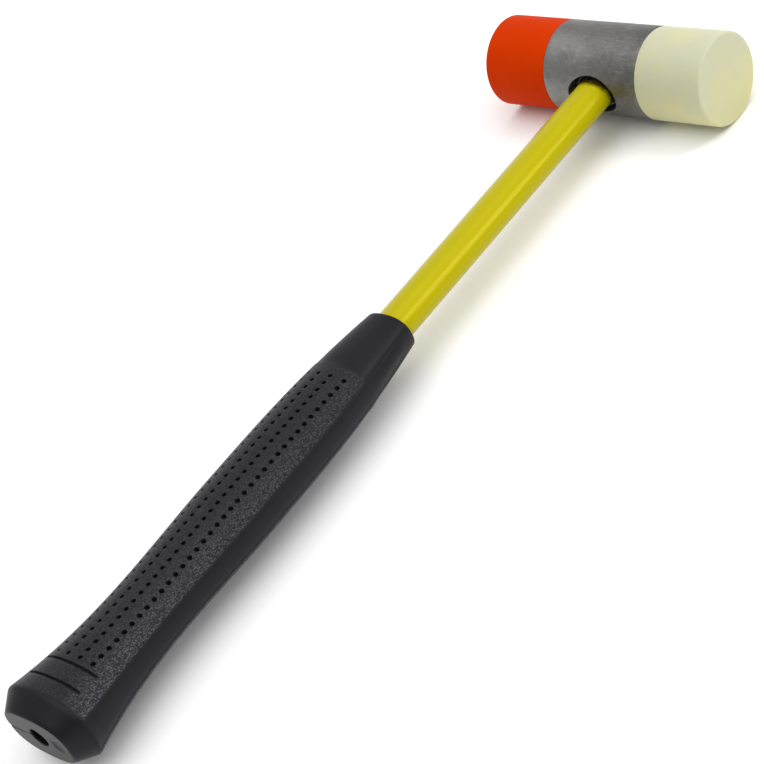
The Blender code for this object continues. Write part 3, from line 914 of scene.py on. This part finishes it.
def grip_ends(bm, collar, flare):
    """Closes the grip with collar edge, bore, hole, butt face and bevel. Returns the hole's vertices."""
    collar_angles = column_angles(GRIP_START + COLLAR_EDGE)
    half_width, half_height = grip_half_sizes(GRIP_START + COLLAR_EDGE)
    rings = [collar]
    for swing in (70, 50, 30, 10, 0):
        drop = COLLAR_EDGE * (1 - math.sin(math.radians(swing)))
        distance = GRIP_START + COLLAR_EDGE * (1 - math.cos(math.radians(swing)))
        sizes = (half_width - drop, half_height - drop)
        rings.append(across([oval_point(*sizes, a, GRIP_SQUARENESS) for a in collar_angles], distance))
    angles = column_angles(FLARE)
    bore_end = SHAFT_GRIP_END + SHAFT_END_GAP
    width, height = SHAFT_HALF_WIDTH + SHAFT_SIDE_GAP, SHAFT_HALF_HEIGHT + SHAFT_SIDE_GAP
    for distance in (GRIP_START + 0.2 * MM, bore_end):
        rings.append(across([oval_point(width, height, a) for a in angles], distance))
    first_hole_ring = len(rings)
    hole_section = [oval_point(BUTT_HOLE_RADIUS, BUTT_HOLE_RADIUS, a) for a in angles]
    rings.append(across(hole_section, bore_end))
    for depth in (2.5 * MM, 0.6 * MM, BUTT_HOLE_EDGE):
        rings.append(across(hole_section, HANDLE_REACH - depth))
    lip = BUTT_HOLE_RADIUS + BUTT_HOLE_EDGE
    sizes = (BUTT_HALF_WIDTH - BUTT_EDGE, BUTT_HALF_HEIGHT - BUTT_EDGE)
    rim = [oval_point(*sizes, a, BUTT_SQUARENESS) for a in angles]
    inner = [oval_point(lip, lip, a) for a in angles]
    for i in range(FACE_RINGS + 1):
        section = [blend(p, q, i / FACE_RINGS) for p, q in zip(inner, rim)]
        rings.append([butt_face_point(x, z) for x, z in section])
    edge = [oval_point(BUTT_HALF_WIDTH, BUTT_HALF_HEIGHT, a, BUTT_SQUARENESS) for a in angles]
    brow = [oval_point(*grip_half_sizes(FLARE), a, GRIP_SQUARENESS) for a in angles]
    bevel_length = HANDLE_REACH - FLARE
    for share in (1 - BUTT_EDGE / bevel_length, 0.8, 0.6, 0.4, 0.2, FLARE_EDGE / bevel_length):
        section = [blend(p, q, share) for p, q in zip(brow, edge)]
        rings.append(across(section, FLARE + bevel_length * share))
    corner, bevel_side = across(brow, FLARE), rings[-1]
    for t in (0.25, 0.5, 0.75):
        bend = []
        for start, middle, vertex in zip(bevel_side, corner, flare):
            bend.append(start * (1 - t) ** 2 + middle * 2 * t * (1 - t) + vertex.co * t**2)
        rings.append(bend)
    rings.append(flare)
    loops = skin(bm, rings)
    return [vertex for ring in loops[first_hole_ring : first_hole_ring + 3] for vertex in ring]


def butt_face_point(x, z):
    """A point of the grip's flat end: a shallow dish on one side, the parting line on the other."""
    mark = 1 - smoothstep(math.hypot(x - MARK_CENTRE, z), MARK_RADIUS - MARK_EDGE, MARK_RADIUS)
    line = 0.0
    if x < 0:
        line = 1 - smoothstep(abs(z), 0.0, LINE_HALF_WIDTH)
    return HEAD + Vector((x, -HANDLE_REACH + MARK_DEPTH * mark + LINE_DEPTH * line, z))


# Hidden pieces that show when a tip is unscrewed


def hardware():
    """Gives the studs and rings of the CAD model their materials."""
    zinc, seal = zinc_material(), seal_material()
    for side in ("soft", "hard"):
        for node, material in ((side + "_tip_stud", zinc), (side + "_tip_ring", seal)):
            mesh = frame["nodes"][node].data
            mesh.materials.clear()
            mesh.materials.append(material)


# Studio


FLOOR_SIZE = 12.0
FLOOR_DROP = 0.05 * MM


def stage():
    """A pale floor under the mallet, big enough to fill the view."""
    place = (0.0, 0.0, -FLOOR_DROP)
    bpy.ops.mesh.primitive_grid_add(size=FLOOR_SIZE, x_subdivisions=2, y_subdivisions=2, location=place)
    floor = bpy.context.object
    floor.name = "floor"
    material, tree, shader = new_material("pale_floor", Roughness=0.9, Specular_IOR_Level=0.1)
    shader.inputs["Base Color"].default_value = FLOOR
    floor.data.materials.append(material)


def add_light(name, kind, direction, distance, energy, **settings):
    """A light that shines on the mallet's middle from this direction and isn't seen itself."""
    data = bpy.data.lights.new(name, kind)
    data.energy = energy
    for setting, value in settings.items():
        setattr(data, setting, value)
    light = bpy.data.objects.new(name, data)
    bpy.context.scene.collection.objects.link(light)
    towards = Vector(direction).normalized()
    light.location = (cad_low + cad_high) / 2 + towards * distance
    light.rotation_euler = towards.to_track_quat("Z", "Y").to_euler()
    light.visible_camera = False


def lights():
    """An even studio: a wide soft light overhead, a softbox past the hard tip and a card opposite."""
    world = bpy.data.worlds.new("studio")
    bpy.context.scene.world = world
    world.use_nodes = True
    background = world.node_tree.nodes["Background"]
    background.inputs["Color"].default_value = (1.0, 1.0, 1.0, 1.0)
    background.inputs["Strength"].default_value = 0.55
    add_light("overhead", "SUN", (0.02, -0.05, 1.0), 1.0, 1.85, angle=math.radians(75))
    add_light("softbox", "AREA", (0.60, 0.57, 0.62), 1.0, 2.6, shape="RECTANGLE", size=0.20, size_y=0.50)
    add_light("card", "AREA", (-0.70, 0.70, 0.20), 1.5, 1.6, shape="RECTANGLE", size=2.0, size_y=0.70)


CAMERA_FROM_HEAD = Vector((0.5462, -0.5437, 0.4685))
CAMERA_AZIMUTH = 56.08
CAMERA_ELEVATION = 36.22
CAMERA_ROLL = -27.92
CAMERA_LENS = 101.0


def camera():
    """The photo's camera, solved from the outlines of the head, shaft and grip."""
    data = bpy.data.cameras.new("camera")
    data.lens = CAMERA_LENS
    data.sensor_width = 36.0
    view = bpy.data.objects.new("camera", data)
    bpy.context.scene.collection.objects.link(view)
    view.location = HEAD + CAMERA_FROM_HEAD
    turn = Euler((math.radians(90 - CAMERA_ELEVATION), 0.0, math.radians(CAMERA_AZIMUTH))).to_matrix()
    turn = turn @ Matrix.Rotation(math.radians(CAMERA_ROLL), 3, "Z")
    view.rotation_euler = turn.to_euler()
    bpy.context.scene.camera = view


head_body()
tip("soft_tip_orange", "soft_tip", -1, soft_plastic_material())
tip("hard_tip_ivory", "hard_tip", 1, hard_plastic_material())
shaft()
eye_bond()
grip()
hardware()
stage()
lights()
camera()
bpy.context.scene.view_settings.view_transform = "Standard"
